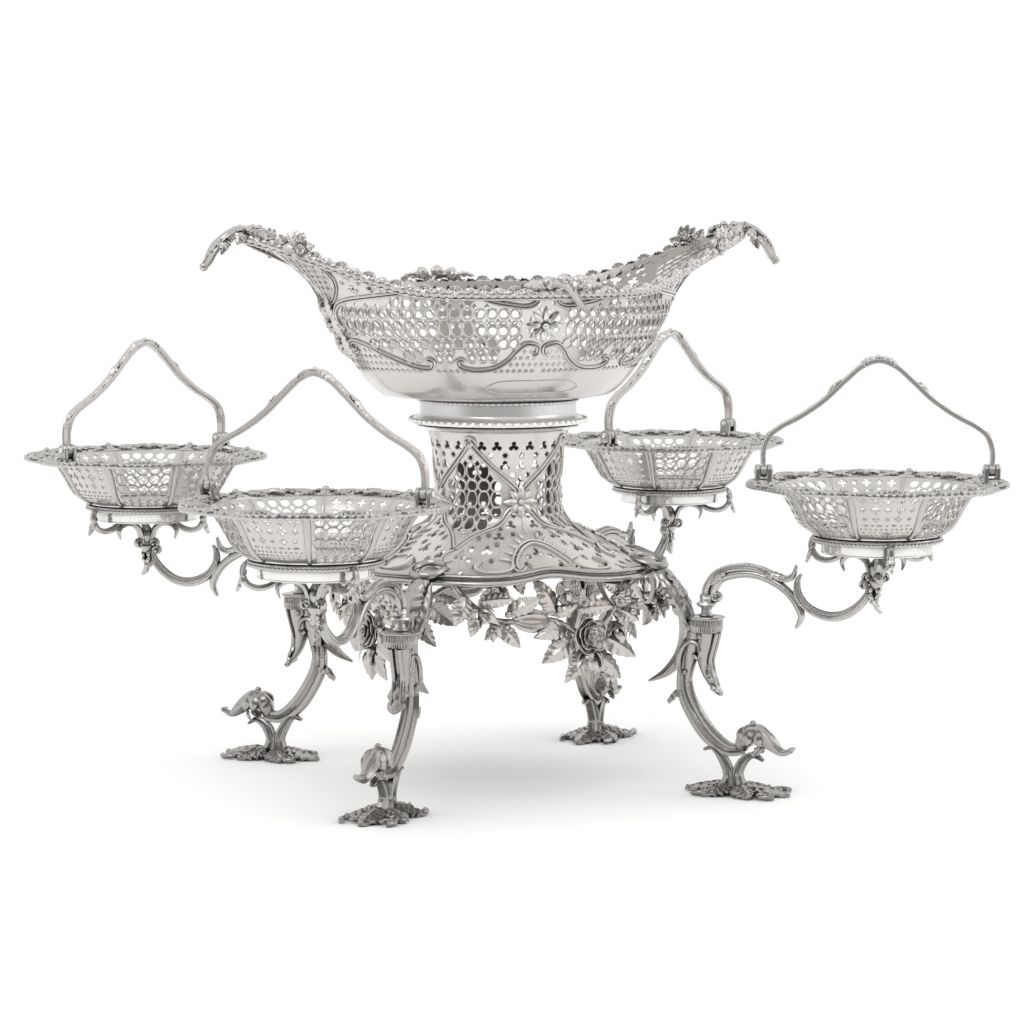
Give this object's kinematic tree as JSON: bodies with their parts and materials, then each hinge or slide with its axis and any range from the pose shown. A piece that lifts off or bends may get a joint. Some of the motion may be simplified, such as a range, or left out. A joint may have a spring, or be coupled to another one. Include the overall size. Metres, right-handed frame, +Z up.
{
  "type": "epergne",
  "caption": "Silver table centrepiece: pierced stem on cast scroll legs, boat-shaped pierced centre basket, swivelling branches with small handled baskets.",
  "frame": {"origin": "on the floor, on the stem's axis", "axes": "+Z up, X along the length of the centre basket, -Y towards the viewer's side"},
  "size_m": [0.5655, 0.5435, 0.378],
  "materials": {
    "plain_silver": "plain polished silver",
    "cast_silver": "cast and chased silver, darker in the recesses",
    "pierced_silver": "pierced sheet silver, polished"
  },
  "bodies": {
    "frame": {"stem": "pierced_silver", "skirt": "pierced_silver", "skirt_moulding": "plain_silver", "stem_collar": "plain_silver", "sockets": "cast_silver", "foot_pads": "cast_silver", "leg_front_left": "cast_silver", "leg_front_right": "cast_silver", "leg_back_right": "cast_silver", "leg_back_left": "cast_silver", "festoon_front": "cast_silver", "festoon_right": "cast_silver", "festoon_back": "cast_silver", "festoon_left": "cast_silver"},
    "centre_basket": {"centre_bowl": "pierced_silver", "centre_border": "cast_silver", "centre_foot": "plain_silver", "centre_rosettes": "cast_silver", "centre_terminals": "cast_silver"},
    "branch_front_left": {"spigot_front_left": "plain_silver", "arm_front_left": "cast_silver", "cradle_front_left": "cast_silver"},
    "basket_front_left": {"dish_wall_front_left": "pierced_silver", "dish_ribs_front_left": "cast_silver", "dish_rim_front_left": "cast_silver", "dish_foot_front_left": "plain_silver", "hinge_lugs_front_left": "plain_silver", "hinge_pins_front_left": "plain_silver"},
    "handle_front_left": {"bail_front_left": "cast_silver"},
    "branch_front_right": {"spigot_front_right": "plain_silver", "arm_front_right": "cast_silver", "cradle_front_right": "cast_silver"},
    "basket_front_right": {"dish_wall_front_right": "pierced_silver", "dish_ribs_front_right": "cast_silver", "dish_rim_front_right": "cast_silver", "dish_foot_front_right": "plain_silver", "hinge_lugs_front_right": "plain_silver", "hinge_pins_front_right": "plain_silver"},
    "handle_front_right": {"bail_front_right": "cast_silver"},
    "branch_back_right": {"spigot_back_right": "plain_silver", "arm_back_right": "cast_silver", "cradle_back_right": "cast_silver"},
    "basket_back_right": {"dish_wall_back_right": "pierced_silver", "dish_ribs_back_right": "cast_silver", "dish_rim_back_right": "cast_silver", "dish_foot_back_right": "plain_silver", "hinge_lugs_back_right": "plain_silver", "hinge_pins_back_right": "plain_silver"},
    "handle_back_right": {"bail_back_right": "cast_silver"},
    "branch_back_left": {"spigot_back_left": "plain_silver", "arm_back_left": "cast_silver", "cradle_back_left": "cast_silver"},
    "basket_back_left": {"dish_wall_back_left": "pierced_silver", "dish_ribs_back_left": "cast_silver", "dish_rim_back_left": "cast_silver", "dish_foot_back_left": "plain_silver", "hinge_lugs_back_left": "plain_silver", "hinge_pins_back_left": "plain_silver"},
    "handle_back_left": {"bail_back_left": "cast_silver"}
  },
  "joints": [
    {"name": "centre_basket_lift", "type": "slide", "parent": "frame", "child": "centre_basket", "axis": [0, 0, 1], "range_m": [0, 0.04]},
    {"name": "branch_swivel_front_left", "type": "hinge", "parent": "frame", "child": "branch_front_left", "pos_m": [-0.10748, -0.10748, 0.118], "axis": [0, 0, 1], "range_deg": [-40, 40]},
    {"name": "basket_lift_front_left", "type": "slide", "parent": "branch_front_left", "child": "basket_front_left", "axis": [0, 0, 1], "range_m": [0, 0.06]},
    {"name": "bail_swing_front_left", "type": "hinge", "parent": "basket_front_left", "child": "handle_front_left", "pos_m": [-0.19092, -0.19092, 0.21925], "axis": [0.7071, -0.7071, 0], "range_deg": [-85, 85]},
    {"name": "branch_swivel_front_right", "type": "hinge", "parent": "frame", "child": "branch_front_right", "pos_m": [0.10748, -0.10748, 0.118], "axis": [0, 0, 1], "range_deg": [-40, 40]},
    {"name": "basket_lift_front_right", "type": "slide", "parent": "branch_front_right", "child": "basket_front_right", "axis": [0, 0, 1], "range_m": [0, 0.06]},
    {"name": "bail_swing_front_right", "type": "hinge", "parent": "basket_front_right", "child": "handle_front_right", "pos_m": [0.19092, -0.19092, 0.21925], "axis": [0.9397, -0.342, 0], "range_deg": [-85, 85]},
    {"name": "branch_swivel_back_right", "type": "hinge", "parent": "frame", "child": "branch_back_right", "pos_m": [0.10748, 0.10748, 0.118], "axis": [0, 0, 1], "range_deg": [-31, 49]},
    {"name": "basket_lift_back_right", "type": "slide", "parent": "branch_back_right", "child": "basket_back_right", "axis": [0, 0, 1], "range_m": [0, 0.06]},
    {"name": "bail_swing_back_right", "type": "hinge", "parent": "basket_back_right", "child": "handle_back_right", "pos_m": [0.20294, 0.17684, 0.21925], "axis": [0.866, 0.5, 0], "range_deg": [-85, 85]},
    {"name": "branch_swivel_back_left", "type": "hinge", "parent": "frame", "child": "branch_back_left", "pos_m": [-0.10748, 0.10748, 0.118], "axis": [0, 0, 1], "range_deg": [-44, 36]},
    {"name": "basket_lift_back_left", "type": "slide", "parent": "branch_back_left", "child": "basket_back_left", "axis": [0, 0, 1], "range_m": [0, 0.06]},
    {"name": "bail_swing_back_left", "type": "hinge", "parent": "basket_back_left", "child": "handle_back_left", "pos_m": [-0.19654, 0.1849, 0.21925], "axis": [0.8829, 0.4695, 0], "range_deg": [-85, 85]}
  ]
}
